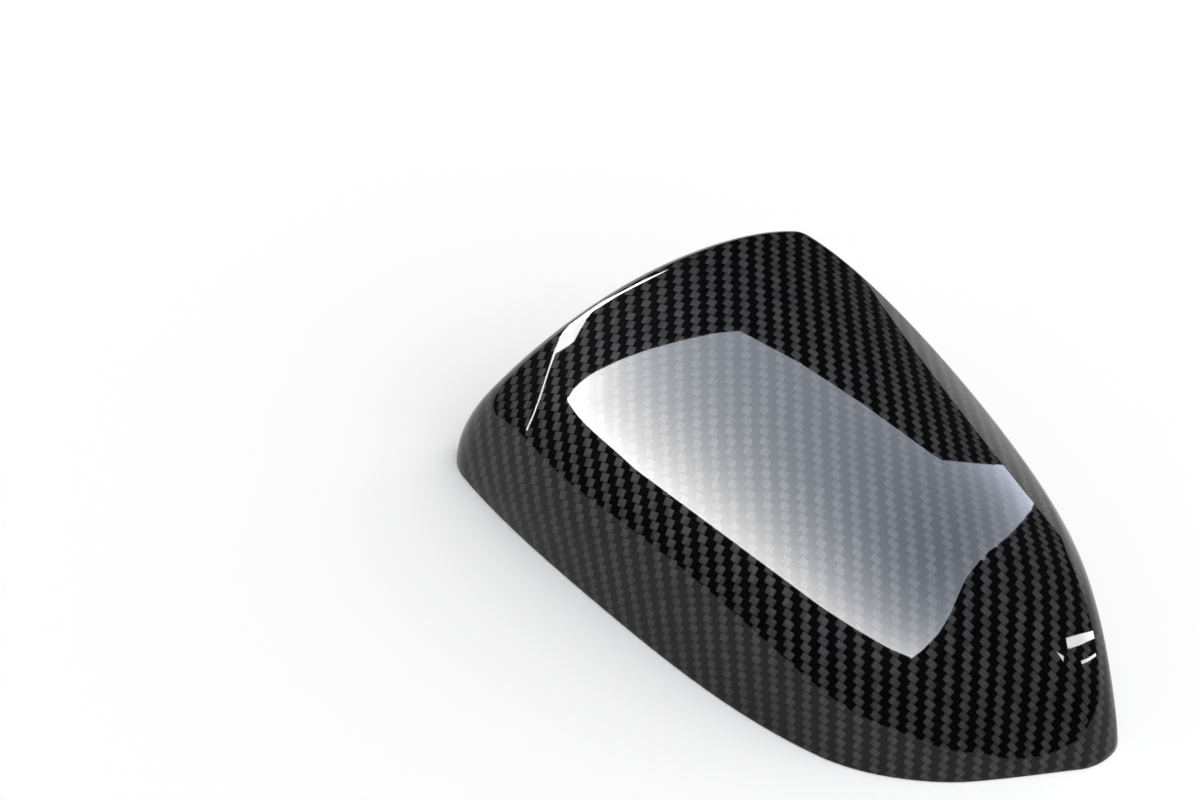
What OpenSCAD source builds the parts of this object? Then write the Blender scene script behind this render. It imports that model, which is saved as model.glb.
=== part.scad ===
// Wing mirror cover: one thin moulded shell, closed on all four sides and open at the rim.
// The rim lies flat on z = 0. X runs from the narrow tip to the back corner, Z goes up through
// the outer skin. The origin is the middle of the shell's box, on the plane of the rim.

/* [Plan corners] */
// Tip to back corner, both measured as sharp corners
cover_l = 245; // [230:1:260]
// Shoulder corner, along from the tip
shoulder_x = 173; // [166:1:180]
// Shoulder corner, out from the line of tip and back corner
shoulder_y = 52.5; // [48:0.5:58]
// Peak corner, along from the tip
peak_x = 85; // [79:1:91]
// Peak corner, in from the line of tip and back corner
peak_y = 90; // [86:0.5:95]
// Rounding at the tip
tip_r = 16; // [12:1:20]
// Rounding at the shoulder
shoulder_r = 35; // [28:0.5:42]
// Rounding at the back corner
back_r = 12; // [9:0.5:15]
// Rounding at the peak corner
peak_r = 3.2; // [2.8:0.1:6]

/* [Plan sides] */
// Bow of the long side, tip to shoulder
long_bow = 0.5; // [0.3:0.1:3]
// Bow of the end side, shoulder to back corner
end_bow = 6.3; // [5:0.1:8]
// Bow of the crease side, back corner to peak corner
crease_bow = 28; // [24:0.5:31]
// Bow of the upper side, peak corner to tip
upper_bow = 1.3; // [0.5:0.1:3]

/* [Outer skin] */
// Height of the skin at the crown
crown_h = 67.5; // [64:0.5:71]
// Rise along X at the crown, mm in 100 mm
rise_x = -7.5; // [-10:0.5:-5]
// Rise along Y at the crown, mm in 100 mm
rise_y = 29.5; // [26:0.5:33]
// Fall along X, mm at 100 mm from the crown
dome_x = 30.5; // [27:0.5:34]
// Fall along Y, mm at 100 mm from the crown
dome_y = 66; // [62:0.5:70]
// Twist, mm lost at 100 mm along both X and Y
twist = 49.5; // [46:0.5:53]
// How much the fall along X eases, mm at 100 mm nearer the peak corner
ease_x = 0.7; // [-3:0.1:4]
// How much the fall along Y grows, mm at 100 mm nearer the back corner
grow_y = 34; // [31:0.5:37]
// How much it lifts along X, mm at 100 mm, as the cube of the distance
lift_x = 6.7; // [3:0.1:10]
// How much it drops along Y, mm at 100 mm, as the cube of the distance
drop_y = 5.2; // [2:0.1:8]

/* [Walls] */
// Draft half way along the long side, at the rim, degrees
long_draft = 8.7; // [7:0.1:11]
// Draft half way along the end side
end_draft = 8.9; // [7:0.1:11]
// Draft half way along the crease side
crease_draft = 3; // [2:0.1:6]
// Draft half way along the upper side
upper_draft = 2; // [1:0.1:4]
// Lean that the long side gains towards the shoulder, mm in 100 mm up, each 100 mm along
long_turn = 21; // [17:1:25]
// Lean that the end side gains towards the back corner
end_turn = 6; // [2:1:10]
// Lean that the crease side gains towards the peak corner
crease_turn = -13; // [-16:1:-9]
// Lean that the upper side gains towards the tip
upper_turn = 5; // [2:1:8]
// Inward curve of the long side, mm at 10 mm up
long_curve = 0.31; // [0.27:0.01:0.36]
// Inward curve of the end side
end_curve = 0.19; // [0.15:0.01:0.23]
// Inward curve of the crease side
crease_curve = 0.15; // [0.1:0.01:0.2]
// Inward curve of the upper side
upper_curve = 0.085; // [0.04:0.005:0.12]

/* [Folds between walls and skin] */
// Along the long side
long_fold = 15.7; // [13:0.1:19]
// Along the end side
end_fold = 59.5; // [52:0.5:63]
// Along the crease side
crease_fold = 2.5; // [2.4:0.1:5]
// Along the upper side
upper_fold = 12.8; // [10:0.1:15]
// At the tip
tip_fold = 3.6; // [3:0.1:7]
// At the shoulder
shoulder_fold = 32; // [27:0.5:36]
// At the back corner
back_fold = 42; // [37:0.5:46]
// At the peak corner
peak_fold = 3.4; // [3:0.1:6]

/* [Moulding] */
// Thickness of the laminate
wall = 1.8; // [1.2:0.1:2]

/* [Hidden] */
// corners in order round the plan: tip, shoulder, back, peak
corner = [[0, 0], [shoulder_x, -shoulder_y], [cover_l, 0], [peak_x, peak_y]];
// each side runs from its corner to the next: long, end, crease, upper
bow = [long_bow, end_bow, crease_bow, upper_bow];
draft = [long_draft, end_draft, crease_draft, upper_draft];
curve = [long_curve, end_curve, crease_curve, upper_curve];
turn = [long_turn, end_turn, crease_turn, upper_turn];
fold = [long_fold, end_fold, crease_fold, upper_fold];
corner_fold = [tip_fold, shoulder_fold, back_fold, peak_fold];

// sections along each side, and points from the rim of a section to the crown
side_steps = [32, 24, 30, 28];
rings = 22;

// middle of the plan, where the sections meet
crown = (corner[0] * 0.8 + corner[1] + corner[2] + corner[3] * 1.2) / 4;
// how far from a corner its two sides still share their fold
blend = 10.6;

function unit(v) = v / norm(v);
function left_of(v) = [-v[1], v[0]];
function next(i) = (i + 1) % 4;
function prev(i) = (i + 3) % 4;

// a side is one arc through two corners
function chord(i) = corner[next(i)] - corner[i];
function side_r(i) = (pow(norm(chord(i)) / 2, 2) + pow(bow[i], 2)) / (2 * bow[i]);
function side_mid(i) = (corner[i] + corner[next(i)]) / 2;
function side_c(i) = side_mid(i) + left_of(unit(chord(i))) * (side_r(i) - bow[i]);
sides = [for (i = [0 : 3])
    [side_c(i), side_r(i), side_mid(i), unit(chord(i)) / 100, tan(draft[i]), turn[i] / 100, curve[i] / 100]];

// Each face is a distance function: below zero inside, above zero outside.
function wall_gap(s, p) =
    let (q = [p[0], p[1]], lean = s[4] + s[5] * (q - s[2]) * s[3])
    norm(q - s[0]) - s[1] + lean * p[2] + s[6] * p[2] * p[2];

function skin_z(p) =
    let (x = (p[0] - crown[0]) / 100, y = (p[1] - crown[1]) / 100)
    crown_h + rise_x * x + rise_y * y - twist * x * y
        - (dome_x - ease_x * y - lift_x * x) * x * x - (dome_y + grow_y * x + drop_y * y) * y * y;
// a step up is a shorter step straight out of the skin, by the cosine of its usual tilt
skin_tilt = 0.92;
function skin_gap(p) = (p[2] - skin_z(p)) * skin_tilt;

// two faces meet in an arc of radius r
function meet(a, b, r) = min(-r, max(a, b)) + norm([max(a + r, 0), max(b + r, 0)]);
// the plan corner radius slides from the tip's to the back corner's
function end_r(p) =
    let (t = max(0, min(1, p[0] / cover_l / 0.4 - 0.75)), s = t * t * (3 - 2 * t))
    tip_r * (1 - s) + back_r * s;
// the fold takes its radius from the nearest side, and near a corner from the corner
function fold_r(gaps) =
    let (most = max(gaps),
         near = [for (g = gaps) exp((g - most) / blend)],
         share = near / (near * [1, 1, 1, 1]),
         at_corner = [for (i = [0 : 3]) 4 * share[prev(i)] * share[i]],
         extra = [for (i = [0 : 3]) corner_fold[i] - (fold[prev(i)] + fold[i]) / 2])
    share * fold + at_corner * extra;
function walls(g, p) = meet(meet(g[0], g[1], shoulder_r), meet(g[2], g[3], peak_r), end_r(p));

// [skin, walls, fold radius] at a point
function faces_at(p) =
    let (g = [for (s = sides) wall_gap(s, p)]) [skin_gap(p), walls(g, p), fold_r(g)];
function level(p) = let (f = faces_at(p)) meet(f[0], f[1], f[2]);

// A ray from below the crown, on the rim plane, leaves the shell at exactly one point.
function on_ray(aim, up, t) =
    [crown[0] + aim[0] * cos(up) * t, crown[1] + aim[1] * cos(up) * t, sin(up) * t];
function leaves(aim, up, low, high, left) =
    let (mid = (low + high) / 2)
    left == 0 ? on_ray(aim, up, mid) :
    level(on_ray(aim, up, mid)) < 0 ? leaves(aim, up, mid, high, left - 1) :
    leaves(aim, up, low, mid, left - 1);
function met_on(aim, up, halvings) = leaves(aim, up, 0, 200, halvings);

// A section is first felt out at even angles, then given its points: each step from one point
// to the next covers the same share of the section's length and of its turning.
felt = 60;
function sum_to(v) = [for (i = 0, t = 0; i <= len(v); t = t + (i < len(v) ? v[i] : 0), i = i + 1) t];
function bend_at(p, i) =
    i == 0 || i == len(p) - 2 ? 0 :
    let (a = unit(p[i] - p[i - 1]), b = unit(p[i + 2] - p[i + 1])) acos(min(1, a * b)) / 2;
function section_angles(aim) =
    let (p = [for (k = [0 : felt]) met_on(aim, 90 * k / felt, 14)],
         run = sum_to([for (i = [0 : felt - 1]) norm(p[i + 1] - p[i])]),
         bend = sum_to([for (i = [0 : felt - 1]) bend_at(p, i)]),
         share = [for (i = [0 : felt]) run[i] / run[felt] + bend[i] / bend[felt]])
    [for (k = [0 : rings - 1]) 90 / felt * lookup(2 * k / rings, [for (i = [0 : felt]) [share[i], i]])];

// sections crowd towards the corners
aims = [for (i = [0 : 3], k = [0 : side_steps[i] - 1])
    unit(corner[i] + chord(i) * (1 - cos(180 * k / side_steps[i])) / 2 - crown)];
n = len(aims);

function section(aim) = [for (up = section_angles(aim)) met_on(aim, up, 22)];

sections = [for (aim = aims) section(aim)];
outer = [for (j = [0 : rings - 1]) [for (i = [0 : n - 1]) sections[i][j]]];

// The inner face is the outer one moved in along its normal.
step = 0.01;
function skin_normal(p) =
    unit([for (d = [[step, 0, 0], [0, step, 0], [0, 0, step]]) level(p + d) - level(p - d)]);
function moved_in(p) = p - skin_normal(p) * wall;
// the rim is cut flat, so the inner foot moves level
function foot_in(p) =
    let (v = skin_normal(p), flat = [v[0], v[1], 0]) p - flat * wall / (flat * flat);
inner = [for (j = [0 : rings - 1]) [for (p = outer[j]) j == 0 ? foot_in(p) : moved_in(p)]];
crown_outer = [crown[0], crown[1], crown_h];

points = concat([for (r = outer) each r], [for (r = inner) each r], [crown_outer, moved_in(crown_outer)]);
m = rings * n;
function id(j, i) = j * n + i % n;
faces = concat(
    [for (j = [0 : rings - 2], i = [0 : n - 1]) each
        [[id(j, i), id(j + 1, i), id(j + 1, i + 1)], [id(j, i), id(j + 1, i + 1), id(j, i + 1)]]],
    [for (i = [0 : n - 1]) [id(rings - 1, i), 2 * m, id(rings - 1, i + 1)]],
    [for (j = [0 : rings - 2], i = [0 : n - 1]) each
        [[m + id(j, i), m + id(j + 1, i + 1), m + id(j + 1, i)],
         [m + id(j, i), m + id(j, i + 1), m + id(j + 1, i + 1)]]],
    [for (i = [0 : n - 1]) [m + id(rings - 1, i), m + id(rings - 1, i + 1), 2 * m + 1]],
    [for (i = [0 : n - 1]) each
        [[id(0, i), id(0, i + 1), m + id(0, i + 1)], [id(0, i), m + id(0, i + 1), m + id(0, i)]]]);

// middle of the whole box
function middle(values) = (min(values) + max(values)) / 2;
mid = [middle([for (r = outer, p = r) p[0]]), middle([for (r = outer, p = r) p[1]]), 0];

// moulded laminate shell
module shell() {
    color("dimgray")
        translate(-mid)
            polyhedron(points, faces, convexity = 6);
}

shell();
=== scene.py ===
"""Wing mirror cover: a thin carbon-fibre shell with a clear coat, lying rim-down in a studio."""
import math

import bpy
import numpy as np
from mathutils import Matrix


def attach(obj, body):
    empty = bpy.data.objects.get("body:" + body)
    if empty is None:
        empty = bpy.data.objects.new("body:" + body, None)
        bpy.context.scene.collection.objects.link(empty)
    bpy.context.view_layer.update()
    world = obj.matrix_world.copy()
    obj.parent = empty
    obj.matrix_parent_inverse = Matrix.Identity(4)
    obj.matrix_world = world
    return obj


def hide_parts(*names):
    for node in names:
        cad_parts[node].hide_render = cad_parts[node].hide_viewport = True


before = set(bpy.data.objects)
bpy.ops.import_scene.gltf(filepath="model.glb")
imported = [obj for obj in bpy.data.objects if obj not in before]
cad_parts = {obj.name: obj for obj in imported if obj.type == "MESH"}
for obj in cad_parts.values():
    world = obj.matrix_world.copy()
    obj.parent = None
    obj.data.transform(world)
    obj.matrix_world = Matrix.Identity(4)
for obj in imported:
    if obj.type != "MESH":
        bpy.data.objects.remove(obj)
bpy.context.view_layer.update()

# Moulded shell
# The cover is one laminate shell, laid up in a female mould and trimmed flat along its rim.
# A domed skin and four drafted walls meet in folds of their own softness. These are the forms
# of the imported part, drawn finer. Sizes are in millimetres.
MM = 0.001
tip, shoulder, back, peak = (np.array(c, float) for c in ((0, 0), (173, -52.5), (245, 0), (85, 90)))
corner = [tip, shoulder, back, peak]
tip_r, shoulder_r, back_r, peak_r = 16, 35, 12, 3.2
end_r_from, end_r_over = 0.3, 0.4
tip_weight, peak_weight = 0.8, 1.2
crown = (tip * tip_weight + shoulder + back + peak * peak_weight) / 4
crown_h, rise_x, rise_y = 67.5, -7.5, 29.5
dome_x, dome_y, twist, ease_x, grow_y, lift_x, drop_y = 30.5, 66, 49.5, 0.7, 34, 6.7, 5.2
skin_tilt = 0.92
wall_t = 1.8


def side(start, end, bow, draft, turn, curve, fold):
    """One wall: an arc in plan through two corners, with its draft in degrees."""
    chord = end - start
    length = np.hypot(*chord)
    along = chord / length
    radius = (length ** 2 / 4 + bow ** 2) / (2 * bow)
    middle = (start + end) / 2
    centre = middle + np.array([-along[1], along[0]]) * (radius - bow)
    return dict(centre=centre, radius=radius, middle=middle, along=along / 100,
                lean=math.tan(math.radians(draft)), turn=turn / 100, curve=curve / 100, fold=fold)


long_side = side(tip, shoulder, 0.5, 8.7, 21, 0.31, 15.7)
end_side = side(shoulder, back, 6.3, 8.9, 6, 0.19, 59.5)
crease_side = side(back, peak, 28, 3, -13, 0.15, 2.5)
upper_side = side(peak, tip, 1.3, 2, 5, 0.085, 12.8)
sides = [long_side, end_side, crease_side, upper_side]
corner_fold = [3.6, 32, 42, 3.4]
blend = 10.6


def meet(a, b, r):
    """Two faces, given as distances, meet in an arc of radius r."""
    return np.minimum(-r, np.maximum(a, b)) + np.hypot(np.maximum(a + r, 0), np.maximum(b + r, 0))


def wall_gap(s, x, y, z):
    """Distance out from one wall, whose lean changes along it and with the height."""
    along = (x - s["middle"][0]) * s["along"][0] + (y - s["middle"][1]) * s["along"][1]
    out = np.hypot(x - s["centre"][0], y - s["centre"][1]) - s["radius"]
    return out + (s["lean"] + s["turn"] * along) * z + s["curve"] * z * z


def skin_z(x, y):
    """Height of the domed skin."""
    x, y = (x - crown[0]) / 100, (y - crown[1]) / 100
    return (crown_h + rise_x * x + rise_y * y - twist * x * y
            - (dome_x - ease_x * y - lift_x * x) * x * x
            - (dome_y + grow_y * x + drop_y * y) * y * y)


def faces_at(x, y, z):
    """Distance from the skin, distance from the walls, and the radius of the fold between."""
    gaps = [wall_gap(s, x, y, z) for s in sides]
    t = np.clip((x / back[0] - end_r_from) / end_r_over, 0, 1)
    end_r = tip_r + (back_r - tip_r) * t * t * (3 - 2 * t)
    walls = meet(meet(gaps[0], gaps[1], shoulder_r), meet(gaps[2], gaps[3], peak_r), end_r)
    share = np.exp((np.array(gaps) - np.max(gaps, axis=0)) / blend)
    share = share / share.sum(0)
    fold = sum(w * s["fold"] for w, s in zip(share, sides))
    for i in range(4):
        own = corner_fold[i] - (sides[i - 1]["fold"] + sides[i]["fold"]) / 2
        fold = fold + 4 * share[i - 1] * share[i] * own
    return (z - skin_z(x, y)) * skin_tilt, walls, fold


def level(x, y, z):
    """Zero on the outer face, and below zero inside it."""
    return meet(*faces_at(x, y, z))


outside_at, halvings = 220.0, 34


def leaves(aim, up):
    """Where rays from below the crown, at angles up in degrees, leave the shell."""
    cos, sin = np.cos(np.radians(up)), np.sin(np.radians(up))
    low, high = np.zeros(cos.shape), np.full(cos.shape, outside_at)
    for _ in range(halvings):
        t = (low + high) / 2
        x, y, z = crown[0] + aim[:, 0] * cos * t, crown[1] + aim[:, 1] * cos * t, sin * t
        inside = level(x, y, z) < 0
        low, high = np.where(inside, t, low), np.where(inside, high, t)
    return np.stack([x, y, z], -1)


def skin_normal(p, h=0.01):
    """The way that the outer face looks at points on it."""
    x, y, z = np.moveaxis(p, -1, 0)
    n = np.stack([level(x + h, y, z) - level(x - h, y, z),
                  level(x, y + h, z) - level(x, y - h, z),
                  level(x, y, z + h) - level(x, y, z - h)], -1)
    return n / np.linalg.norm(n, axis=-1, keepdims=True)


# Sections crowd towards the corners. Along a section the points share its length and its
# turning evenly, so the folds get as many as the broad skin.
side_steps = (150, 100, 130, 120)
ring_count = 84
aim = np.concatenate([
    corner[i] + np.outer((1 - np.cos(np.pi * np.arange(m) / m)) / 2,
                         corner[(i + 1) % 4] - corner[i])
    for i, m in enumerate(side_steps)]) - crown
aim /= np.linalg.norm(aim, axis=1, keepdims=True)
columns = len(aim)
up_felt = np.linspace(0, 90, 181)
felt = leaves(aim, up_felt[:, None] * np.ones(columns))
stride = np.diff(felt, axis=0)
stride_long = np.linalg.norm(stride, axis=-1)
stride_way = stride / stride_long[..., None]
bend = np.zeros(stride_long.shape)
bend[1:-1] = np.arccos(np.minimum((stride_way[:-2] * stride_way[2:]).sum(-1), 1))
share = sum(np.concatenate([v[:1] * 0, np.cumsum(v, 0)]) / v.sum(0) for v in (stride_long, bend))
up = np.stack([np.interp(2 * np.arange(ring_count) / ring_count, share[:, i], up_felt)
               for i in range(columns)], 1)
outer = leaves(aim, up)
outer_normal = skin_normal(outer)
inner_normal = outer_normal[::2]
inner = outer[::2] - inner_normal * wall_t
top = np.array([[*crown, crown_h]])
top_normal = skin_normal(top)

# The trimmed rim: a flat edge with its two arrises just broken.
arris = 0.3
rim_turns = np.radians((0, 30, 60, 90, 90, 120, 150, 180))
level_out = outer_normal[0] * (1, 1, 0)
level_out /= np.linalg.norm(level_out, axis=1, keepdims=True)
rim_wide = wall_t / np.hypot(outer_normal[0, :, 0], outer_normal[0, :, 1])
rim, rim_normal = [], []
for i, a in enumerate(rim_turns):
    outer_arris = i < len(rim_turns) // 2
    from_edge = arris * (1 - np.cos(a)) if outer_arris else rim_wide - arris * (1 + np.cos(a))
    p = outer[0] - level_out * np.broadcast_to(from_edge, (columns,))[:, None]
    rim.append(p + (0, 0, arris * (1 - np.sin(a))))
    rim_normal.append(level_out * np.cos(a) - np.array((0, 0, np.sin(a))))

# All rings in order: down the outer face, across the rim, up the inner face.
rings = np.concatenate([outer[:0:-1], rim, inner[1:]])
normals = np.concatenate([outer_normal[:0:-1], rim_normal, -inner_normal[1:]])
middle = (outer.reshape(-1, 3).min(0) + outer.reshape(-1, 3).max(0)) / 2 * (1, 1, 0)
count = len(rings)
vertices = np.concatenate([rings.reshape(-1, 3), top, top - top_normal * wall_t])
upper_pole, lower_pole = count * columns, count * columns + 1
here = np.arange(count * columns).reshape(count, columns)
right = np.roll(here, -1, 1)
quads = np.stack([here[:-1], here[1:], right[1:], right[:-1]], -1).reshape(-1, 4)
caps = np.concatenate([
    np.stack([np.full(columns, upper_pole), here[0], right[0]], -1),
    np.stack([here[-1], np.full(columns, lower_pole), right[-1]], -1)])
shell_mesh = bpy.data.meshes.new("shell_laminate")
shell_mesh.from_pydata(((vertices - middle) * MM).tolist(), [], quads.tolist() + caps.tolist())
shell_mesh.polygons.foreach_set("use_smooth", [True] * len(shell_mesh.polygons))
shell_mesh.normals_split_custom_set_from_vertices(
    np.concatenate([normals.reshape(-1, 3), top_normal, -top_normal]).tolist())

# The coat covers the outer face and the first arris; the rest is bare.
coated_quads = (ring_count + 1) * columns
is_bare = np.ones(len(shell_mesh.polygons), int)
is_bare[:coated_quads] = 0
is_bare[len(quads):len(quads) + columns] = 0
shell_mesh.polygons.foreach_set("material_index", is_bare)

# The cloth: how the fabric lies on the mould. A coarse net over the outer face is laid out flat
# with the least stretch, turned so that the twill's ribs run the way they do on the real cover,
# and read back as a place in the cloth for every point.
tow = 1.8
rib_heading = math.radians(120)
net_step, net_rise = 5, 4
slack, stiff = 0.02, 5
settlings = 80
to_top = np.concatenate([outer, np.broadcast_to(top, (1, columns, 3))])
spans = np.linalg.norm(np.diff(to_top, axis=0), axis=2)
roll_out = np.cumsum(spans[::-1], axis=0)[::-1, :, None] * aim
net = outer[::net_rise, ::net_step]
net_points = np.concatenate([net.reshape(-1, 3), top])
rows, cols = net.shape[:2]
knot = np.arange(rows * cols).reshape(rows, cols)
beside = np.roll(knot, -1, 1)
pole = rows * cols
patches = np.concatenate([
    np.stack([knot[:-1], beside[:-1], beside[1:]], -1).reshape(-1, 3),
    np.stack([knot[:-1], beside[1:], knot[1:]], -1).reshape(-1, 3),
    np.stack([knot[-1], beside[-1], np.full(cols, pole)], -1)])


def flat_patch(p):
    """Each triangle laid flat by itself, with the weights of its edges."""
    e, g = p[:, 1] - p[:, 0], p[:, 2] - p[:, 0]
    length = np.linalg.norm(e, axis=1)
    flat = np.zeros((len(p), 3, 2))
    flat[:, 1, 0], flat[:, 2, 0] = length, (g * e).sum(1) / length
    flat[:, 2, 1] = np.linalg.norm(np.cross(e, g), axis=1) / length
    weight = np.zeros((len(p), 3))
    for k in range(3):
        a, b = flat[:, k] - flat[:, (k + 2) % 3], flat[:, (k + 1) % 3] - flat[:, (k + 2) % 3]
        weight[:, k] = (a * b).sum(1) / np.abs(a[:, 0] * b[:, 1] - a[:, 1] * b[:, 0]) / 2
    return flat, np.clip(weight, slack, stiff)


flat, weight = flat_patch(net_points[patches])
tie = np.zeros((pole + 1, pole + 1))
for k in range(3):
    a, b, w = patches[:, k], patches[:, (k + 1) % 3], weight[:, k]
    np.add.at(tie, (a, a), w)
    np.add.at(tie, (b, b), w)
    np.add.at(tie, (a, b), -w)
    np.add.at(tie, (b, a), -w)
tie[pole, pole] += 1
untie = np.linalg.inv(tie)
net_roll = np.concatenate([roll_out[::net_rise, ::net_step].reshape(-1, 2), [[0, 0]]])
cloth = net_roll.copy()
for _ in range(settlings):
    lie = sum(weight[:, k, None, None]
              * (cloth[patches[:, k]] - cloth[patches[:, (k + 1) % 3]])[:, :, None]
              * (flat[:, k] - flat[:, (k + 1) % 3])[:, None, :] for k in range(3))
    angle = np.arctan2(lie[:, 1, 0] - lie[:, 0, 1], lie[:, 0, 0] + lie[:, 1, 1])
    cos, sin = np.cos(angle), np.sin(angle)
    turn = np.stack([cos, -sin, sin, cos], -1).reshape(-1, 2, 2)
    pull = np.zeros((pole + 1, 2))
    for k in range(3):
        edge = flat[:, k] - flat[:, (k + 1) % 3]
        d = weight[:, k, None] * np.einsum("nij,nj->ni", turn, edge)
        np.add.at(pull, patches[:, k], d)
        np.add.at(pull, patches[:, (k + 1) % 3], -d)
    cloth = untie @ pull


def between(values, steps, wraps):
    """Smoothly fills in steps points for each one along the first axis."""
    t = np.arange((len(values) - (0 if wraps else 1)) * steps) / steps
    i, f = np.floor(t).astype(int), (t % 1)[:, None, None]
    pick = [np.take(values, i + k, axis=0, mode="wrap" if wraps else "clip")
            for k in (-1, 0, 1, 2)]
    part = ((2 * f - 1 - f * f) * f / 2, 1 - 2.5 * f * f + 1.5 * f ** 3,
            (1 + 4 * f - 3 * f * f) * f / 2, (f - 1) * f * f / 2)
    return sum(a * b for a, b in zip(part, pick))


# Between the net's knots only the small difference from the plain roll-out is filled in.
stray = np.concatenate([(cloth - net_roll)[:-1].reshape(rows, cols, 2),
                        np.broadcast_to(cloth[-1] - net_roll[-1], (1, cols, 2))])
stray = between(stray, net_rise, False)
stray = between(stray.transpose(1, 0, 2), net_step, True).transpose(1, 0, 2)
laid_out = roll_out + stray
near_top = laid_out[-1] - cloth[-1]
swing = np.angle(((near_top[:, 0] + 1j * near_top[:, 1]) * (aim[:, 0] - 1j * aim[:, 1])).mean())
rib_turn = rib_heading + swing

# The fabric is also pulled by hand so that its ribs stay nearly parallel seen from the front,
# drawn out a little along them and sheared across them.
pulled, gather, drawn, fan, shear = 0.6, 1.05, 1.12, 0.002, 0.26
rib_side, rib_away = (0.864, 0.503), (-0.503, 0.864)


def cloth_at(laid, point):
    """Place in the cloth, in tows, counted along the two ways that the tows run."""
    aside, away = (point[..., :2] - crown) @ rib_side, (point[..., :2] - crown) @ rib_away
    along = laid @ (math.cos(rib_turn), math.sin(rib_turn)) / drawn
    across = (laid @ (-math.sin(rib_turn), math.cos(rib_turn)) * (1 - pulled)
              - aside * (1 + fan * away) * pulled * gather)
    along = along + shear * across
    return np.stack([along + across, along - across], -1) / tow / math.sqrt(2)


outer_place = cloth_at(laid_out, outer)
top_place = cloth_at(cloth[-1:], top)
place = np.concatenate([outer_place[::-1].reshape(-1, 2),
                        np.repeat(outer_place[:1], count - ring_count, 0).reshape(-1, 2),
                        top_place, top_place])
cloth_map = shell_mesh.uv_layers.new(name="cloth")
loop_point = np.zeros(len(shell_mesh.loops), int)
shell_mesh.loops.foreach_get("vertex_index", loop_point)
cloth_map.uv.foreach_set("vector", place[loop_point].ravel())

shell = bpy.data.objects.new("shell_laminate", shell_mesh)
bpy.context.collection.objects.link(shell)


class Wire:
    """A value in a shader. Sums and the like of wires become Math nodes."""

    def __init__(self, socket):
        self.socket = socket

    def math(self, operation, *others, reflected=False):
        """A Math node on this wire and the others."""
        node = self.socket.id_data.nodes.new("ShaderNodeMath")
        node.operation = operation
        for socket, value in zip(node.inputs, (*others, self) if reflected else (self, *others)):
            feed(socket, value)
        return Wire(node.outputs[0])

    def __add__(self, other): return self.math("ADD", other)
    def __radd__(self, other): return self.math("ADD", other, reflected=True)
    def __sub__(self, other): return self.math("SUBTRACT", other)
    def __rsub__(self, other): return self.math("SUBTRACT", other, reflected=True)
    def __mul__(self, other): return self.math("MULTIPLY", other)
    def __rmul__(self, other): return self.math("MULTIPLY", other, reflected=True)
    def __truediv__(self, other): return self.math("DIVIDE", other)
    def __rtruediv__(self, other): return self.math("DIVIDE", other, reflected=True)
    def __mod__(self, other): return self.math("FLOORED_MODULO", other)
    def __rmod__(self, other): return self.math("FLOORED_MODULO", other, reflected=True)
    def __lt__(self, other): return self.math("LESS_THAN", other)
    def __gt__(self, other): return self.math("GREATER_THAN", other)


def feed(socket, value):
    """A wire is linked to the socket; anything else is set on it."""
    if isinstance(value, Wire):
        socket.id_data.links.new(value.socket, socket)
    else:
        socket.default_value = value


def add(tree, kind, settings, inputs, output=0):
    """One node: its settings first, then the values or wires of its sockets."""
    node = tree.nodes.new(kind)
    for name, value in settings.items():
        setattr(node, name, value)
    for name, value in inputs.items():
        feed(node.inputs[name], value)
    return Wire(node.outputs[output]) if len(node.outputs) else node


def new_material(name):
    """An empty material and its node tree."""
    material = bpy.data.materials.new(name)
    material.use_nodes = True
    material.node_tree.nodes.clear()
    return material, material.node_tree


# Clear coat over the twill. Each tow rises where it passes over two others and dips under the
# next two. The tows that run one way have the carbon's colour, and those that run the other way
# are painted nearly black: painted shade, standing in for the light that they don't reflect.
coated, tree = new_material("coated_twill")
cloth_uv = add(tree, "ShaderNodeUVMap", {"uv_map": "cloth"}, {})
axes = add(tree, "ShaderNodeSeparateXYZ", {}, {0: cloth_uv}).socket.node
p, q = Wire(axes.outputs[0]), Wire(axes.outputs[1])
fp, fq = p.math("FLOOR"), q.math("FLOOR")
p_over = ((fp - fq) % 4) < 2
p_along, q_along = ((q - fp + 2) % 4) - 2, ((p - fq + 3) % 4) - 2
p_side, q_side = (p - fp) * 2 - 1, (q - fq) * 2 - 1
rise_mm, belly_mm = 0.06, 0.07
p_high = (p_along * (math.pi / 2)).math("COSINE") * rise_mm + (1 - p_side * p_side) * belly_mm
q_high = (q_along * (math.pi / 2)).math("COSINE") * rise_mm + (1 - q_side * q_side) * belly_mm
relief = q_high + p_over * (p_high - q_high)
tow_side = q_side + p_over * (p_side - q_side)
tow_along = q_along + p_over * (p_along - q_along)
tow_number = add(tree, "ShaderNodeCombineXYZ", {}, {
    0: fq + p_over * (fp - fq), 1: p_over,
    2: (((p - fq + 1) / 4).math("FLOOR") * (1 - p_over)
        + ((q - fp + 2) / 4).math("FLOOR") * p_over)})
tow_shade = add(tree, "ShaderNodeTexWhiteNoise", {"noise_dimensions": "3D"}, {
    "Vector": tow_number})
hair_fine, hair_long, tow_apart = 3.5, 0.4, 50
hair = add(tree, "ShaderNodeTexNoise", {"noise_dimensions": "2D"}, {
    "Vector": add(tree, "ShaderNodeCombineXYZ", {}, {
        0: tow_side * hair_fine, 1: tow_along * hair_long + tow_shade * tow_apart}),
    "Scale": 1.0, "Detail": 2.0})
side_reach, side_soft, end_reach, end_soft = 1.05, 0.26, 1.04, 0.3
# The last share darkens the tows that run one way nearly to black in the base colour: painted
# shade.
least_lit, lit_by_tow, lit_by_hair, painted_family_shade = 0.5, 0.5, 0.3, 0.96
from_side = (side_reach - tow_side.math("ABSOLUTE")).math("MINIMUM", side_soft) / side_soft
from_end = (end_reach - tow_along.math("ABSOLUTE")).math("MINIMUM", end_soft) / end_soft
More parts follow.
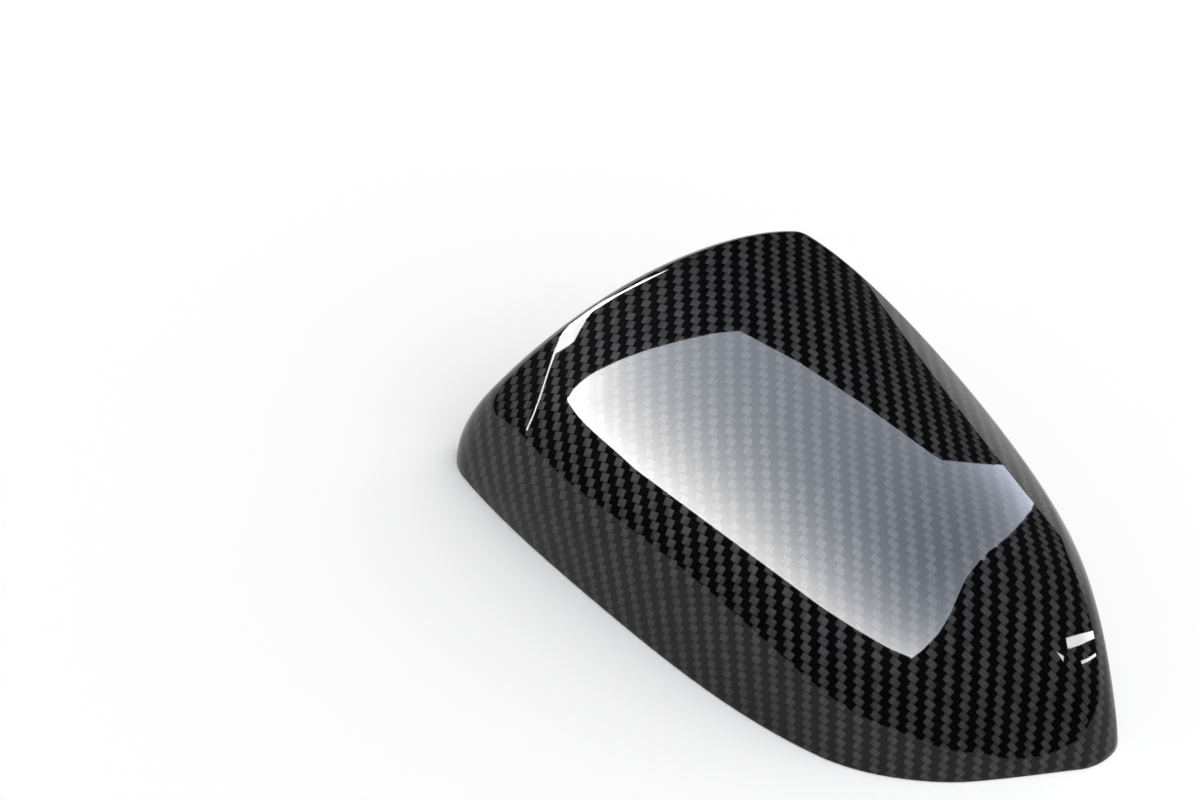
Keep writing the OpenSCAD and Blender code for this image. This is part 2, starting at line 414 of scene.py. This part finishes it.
tone_and_painted_shade = (from_side * from_end * (least_lit + tow_shade * lit_by_tow + hair * lit_by_hair)
       * (1 - p_over * painted_family_shade))
# The dark colour fills the resin gaps between the tows and is also the painted shade of the
# darkened tows.
gap_and_painted_shade_tow, lit_tow = (0.0008, 0.0008, 0.0009, 1), (0.039, 0.039, 0.04, 1)
weave_colour_and_painted_shade = add(tree, "ShaderNodeMix", {"data_type": "RGBA"}, {
    0: tone_and_painted_shade, 6: gap_and_painted_shade_tow, 7: lit_tow}, 2)
weave_normal = add(tree, "ShaderNodeBump", {}, {
    "Strength": 1.0, "Distance": MM, "Filter Width": 0.3, "Height": relief})
twill = add(tree, "ShaderNodeBsdfPrincipled", {}, {
    "Base Color": weave_colour_and_painted_shade, "Metallic": 0.08, "Specular IOR Level": 0.0, "Roughness": 0.5,
    "Normal": weave_normal, "Coat Weight": 1.0, "Coat Roughness": 0.02, "Coat IOR": 1.32})
add(tree, "ShaderNodeOutputMaterial", {}, {"Surface": twill})

# Inside and at the trimmed rim the laminate is bare: dull resin with the print of a peel cloth.
bare_laminate, tree = new_material("bare_laminate")
resin_rough, blotch_rough = 0.5, 0.2
print_mm, blotch_mm = 0.15, 0.3
where = add(tree, "ShaderNodeTexCoord", {}, {}, "Object")
blotch = add(tree, "ShaderNodeTexNoise", {}, {"Vector": where, "Scale": 60.0, "Detail": 5.0})
peel_print = add(tree, "ShaderNodeTexVoronoi", {"distance": "CHEBYCHEV"}, {
    "Vector": where, "Scale": 1400.0})
dull = add(tree, "ShaderNodeBsdfPrincipled", {}, {
    "Base Color": (0.03, 0.03, 0.032, 1), "Roughness": resin_rough + blotch * blotch_rough,
    "Normal": add(tree, "ShaderNodeBump", {}, {
        "Strength": 0.6, "Distance": MM, "Height": peel_print * print_mm + blotch * blotch_mm})})
add(tree, "ShaderNodeOutputMaterial", {}, {"Surface": dull})
shell_mesh.materials.append(coated)
shell_mesh.materials.append(bare_laminate)
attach(shell, "root")
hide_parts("shell")

# Camera
# A short telephoto lens looks down on the cover from in front of its long side. It is nearly a
# metre away and rolled by about a degree.
view_heading, view_down, view_roll = (math.radians(a) for a in (-30.2, 44.94, 1.05))
view_away, sensor_wide, lens_ratio = 942, 36, 2.4
aimed_at = np.array((37.7, 50.8, 0))
frame_wide, frame_high = 1200, 800
forward = np.array((math.sin(view_heading) * math.cos(view_down),
                    math.cos(view_heading) * math.cos(view_down), -math.sin(view_down)))
level_right = np.array((math.cos(view_heading), -math.sin(view_heading), 0))
level_up = np.cross(level_right, forward)
image_right = level_right * math.cos(view_roll) + level_up * math.sin(view_roll)
image_up = level_up * math.cos(view_roll) - level_right * math.sin(view_roll)
eye = aimed_at - forward * view_away
stand = (eye - middle) * MM
camera = bpy.data.objects.new("camera", bpy.data.cameras.new("camera"))
camera.data.sensor_width = sensor_wide
camera.data.lens = sensor_wide * lens_ratio
camera.data.clip_start, camera.data.clip_end = 0.05, 20
camera.matrix_world = Matrix([
    *((image_right[k], image_up[k], -forward[k], stand[k]) for k in range(3)), (0, 0, 0, 1)])
bpy.context.collection.objects.link(camera)
bpy.context.scene.camera = camera
bpy.context.scene.view_settings.view_transform = "Standard"

# Floor
# A white table top of matt board, on which the cover lies. It is lit so evenly that it shows
# only the shade where the cover meets it.
floor_half = 0.8
floor_mesh = bpy.data.meshes.new("floor")
floor_mesh.from_pydata([(x * floor_half, y * floor_half, 0)
                        for x, y in ((-1, -1), (1, -1), (1, 1), (-1, 1))], [], [(0, 1, 2, 3)])
floor = bpy.data.objects.new("floor", floor_mesh)
bpy.context.collection.objects.link(floor)
white_top, tree = new_material("white_table_top")
board = add(tree, "ShaderNodeBsdfPrincipled", {}, {
    "Base Color": (0.97, 0.97, 0.97, 1), "Roughness": 0.9, "Specular IOR Level": 0.0,
    "Emission Color": (1, 1, 1, 1), "Emission Strength": 0.04})
add(tree, "ShaderNodeOutputMaterial", {}, {"Surface": board})
floor_mesh.materials.append(white_top)

# Softbox
# One large curved box of white cloth lights the top of the cover. Its outline is found by sending
# rays from the camera through the corners of its reflection in the picture, off the coat and on
# to a round tent.
tent_reach, shell_reach, shell_before = 1200, 200, 250
step_back, step_on, steps = -2, 8, 400
glow_near = np.array(((568, 397), (571, 406), (580, 419), (598, 436), (620, 455), (635, 469),
                      (735, 543), (820, 606), (849, 625), (888, 648), (912, 658)), float)
glow_far = np.array(((740, 331), (800, 363), (860, 402), (940, 460), (990, 465), (1045, 465)),
                    float)
glow_left = np.array(((568, 397), (576, 386), (591, 374), (620, 360), (650, 349), (688, 339),
                      (717, 333), (740, 331)), float)
glow_right = np.array(((912, 658), (924, 649), (939, 633), (949, 617), (957, 598), (966, 578),
                       (983, 556), (1009, 536), (1030, 513), (1041, 490), (1045, 465)), float)


def along_line(line, share):
    """Points on a line of pixels at shares of its length."""
    run = np.concatenate([[0], np.cumsum(np.linalg.norm(np.diff(line, axis=0), axis=1))])
    return np.stack([np.interp(share * run[-1], run, line[:, k]) for k in (0, 1)], -1)


def bounce(pixels):
    """Where rays through these pixels meet the coat, and how they leave it."""
    across = (pixels[:, 0] - frame_wide / 2) / (frame_wide * lens_ratio)
    down = (pixels[:, 1] - frame_high / 2) / (frame_wide * lens_ratio)
    ray = forward + across[:, None] * image_right - down[:, None] * image_up
    ray /= np.linalg.norm(ray, axis=1, keepdims=True)
    t = np.full(len(ray), float(view_away - shell_before))
    for _ in range(steps):
        t = t + np.clip(level(*(eye + ray * t[:, None]).T), step_back, step_on) / 2
    point = eye + ray * t[:, None]
    n = skin_normal(point)
    return point, ray - 2 * (ray * n).sum(1, keepdims=True) * n


def panel(name, pixels, light):
    """A lamp on the tent whose reflection covers a grid of pixels."""
    grid_rows, grid_cols = pixels.shape[:2]
    point, leaving = bounce(pixels.reshape(-1, 2))
    point = point - middle
    ahead = (point * leaving).sum(1)
    away = (point ** 2).sum(1)
    hit = away < shell_reach ** 2
    reach = np.sqrt(np.where(hit, ahead ** 2 + tent_reach ** 2 - away, 0)) - ahead
    spot = np.where(hit[:, None], point + leaving * reach[:, None], 0)
    mesh = bpy.data.meshes.new(name)
    cell = np.arange(grid_rows * grid_cols).reshape(grid_rows, grid_cols)
    faces = np.stack([cell[:-1, :-1], cell[1:, :-1], cell[1:, 1:], cell[:-1, 1:]], -1)
    faces = faces.reshape(-1, 4)
    faces = faces[hit[faces].all(1)]
    mesh.from_pydata((spot * MM).tolist(), [], faces.tolist())
    mesh.polygons.foreach_set("use_smooth", [True] * len(mesh.polygons))
    lamp = bpy.data.objects.new(name, mesh)
    bpy.context.collection.objects.link(lamp)
    mesh.materials.append(light)
    lamp.visible_diffuse = lamp.visible_camera = lamp.visible_shadow = False
    return lamp


rightward, farward = np.linspace(0, 1, 41), np.linspace(0, 1, 21)
a, b = rightward[None, :, None], farward[:, None, None]
glow = ((1 - b) * along_line(glow_near, rightward)[None] + b * along_line(glow_far, rightward)[None]
        + (1 - a) * along_line(glow_left, farward)[:, None]
        + a * along_line(glow_right, farward)[:, None]
        - (1 - a) * (1 - b) * glow_near[0] - a * (1 - b) * glow_near[-1]
        - (1 - a) * b * glow_far[0] - a * b * glow_far[-1])
from_near, from_right = (
    np.linalg.norm(glow[:, :, None] - along_line(line, np.linspace(0, 1, 200)), axis=-1).min(-1)
    for line in (glow_near, glow_right))

# The cloth glows evenly, more strongly along its near edge and a little along its right edge.
# The spreads are in pixels of the picture. The glow is bluish where it is weak.
even_glow, near_glow, right_glow, fading = 9.2, 42, 4, 0.5
near_spread, near_narrows, right_spread = 66, 30, 26
bright = (even_glow * (1 - fading * rightward ** 3)
          + right_glow * np.exp(-from_right / right_spread)
          + near_glow * np.exp(-from_near / (near_spread - near_narrows * rightward))
          * (1 - fading * rightward))
blue_at, white_at = 8, 28
blue_glow, white_glow = (0.76, 0.84, 1.0, 1), (1, 1, 1, 1)
box_light, tree = new_material("softbox_cloth")
shine = add(tree, "ShaderNodeAttribute", {"attribute_name": "bright"}, {}, "Fac")
whiteness = ((shine - blue_at) / (white_at - blue_at)).math("MINIMUM", 1.0).math("MAXIMUM", 0.0)
box_colour = add(tree, "ShaderNodeMix", {"data_type": "RGBA"}, {
    0: whiteness, 6: blue_glow, 7: white_glow}, 2)
glare = add(tree, "ShaderNodeBsdfPrincipled", {}, {
    "Base Color": (0, 0, 0, 1), "Specular IOR Level": 0.0, "Emission Strength": 1.0,
    "Emission Color": add(tree, "ShaderNodeVectorMath", {"operation": "SCALE"}, {
        0: box_colour, "Scale": shine})})
add(tree, "ShaderNodeOutputMaterial", {}, {"Surface": glare})
softbox = panel("softbox", glow, box_light)
softbox.data.attributes.new("bright", "FLOAT", "POINT").data.foreach_set("value", bright.ravel())

# Strip lamps
# Narrow lamps hang at the side of the tent. They draw the bright streaks along the upper and
# the end fold, and are placed in the same way as the softbox.
strips = {
    "strip_upper": (((554, 351), (563, 332), (577, 318), (604, 301), (644, 280), (669, 269)),
                    ((555, 354), (573, 343), (583, 325), (592, 312), (619, 295), (664, 272))),
    "strip_upper_low": (((526, 430), (534, 412), (540, 395), (548, 370), (554, 352)),
                        ((527, 431), (535, 413), (541, 396), (549, 371), (556, 352))),
    "strip_end": (((1066, 638), (1080, 634), (1096, 630)),
                  ((1068, 649), (1080, 645), (1095, 638))),
    "strip_end_low": (((1081, 661), (1088, 658), (1096, 653)),
                      ((1082, 664), (1089, 661), (1096, 656)))}
strip_light, tree = new_material("strip_lamp")
strip_glare = add(tree, "ShaderNodeEmission", {}, {"Color": (1, 1, 1, 1), "Strength": 32.0})
add(tree, "ShaderNodeOutputMaterial", {}, {"Surface": strip_glare})
for name, edges in strips.items():
    upper, lower = (along_line(np.array(line, float), np.linspace(0, 1, 25)) for line in edges)
    grid = np.array([upper * (1 - k) + lower * k for k in np.linspace(0, 1, 5)])
    panel(name, grid, strip_light)

# Room
# White walls with a broad high window at the right give the soft light; for the coat to mirror
# there is only black cloth.
wall_light, window_light, window_width, black_cloth = 0.3, 2.25, 3.0, 0.015
window_way = (0.555, 0.323, 0.766)
room = bpy.data.worlds.new("room")
room.use_nodes = True
bpy.context.scene.world = room
tree = room.node_tree
tree.nodes.clear()
rays = add(tree, "ShaderNodeLightPath", {}, {}).socket.node
by_camera, by_gloss = Wire(rays.outputs["Is Camera Ray"]), Wire(rays.outputs["Is Glossy Ray"])
toward_window = add(tree, "ShaderNodeVectorMath", {"operation": "DOT_PRODUCT"}, {
    0: add(tree, "ShaderNodeTexCoord", {}, {}, "Generated"), 1: window_way}, "Value")
window = toward_window.math("MAXIMUM", 0.0).math("POWER", window_width)
soft_light = wall_light + window * window_light
seen_white = soft_light + by_camera * (1 - soft_light)
air = add(tree, "ShaderNodeBackground", {}, {
    "Color": (1, 1, 1, 1), "Strength": seen_white * (1 - by_gloss) + by_gloss * black_cloth})
add(tree, "ShaderNodeOutputWorld", {}, {"Surface": air})
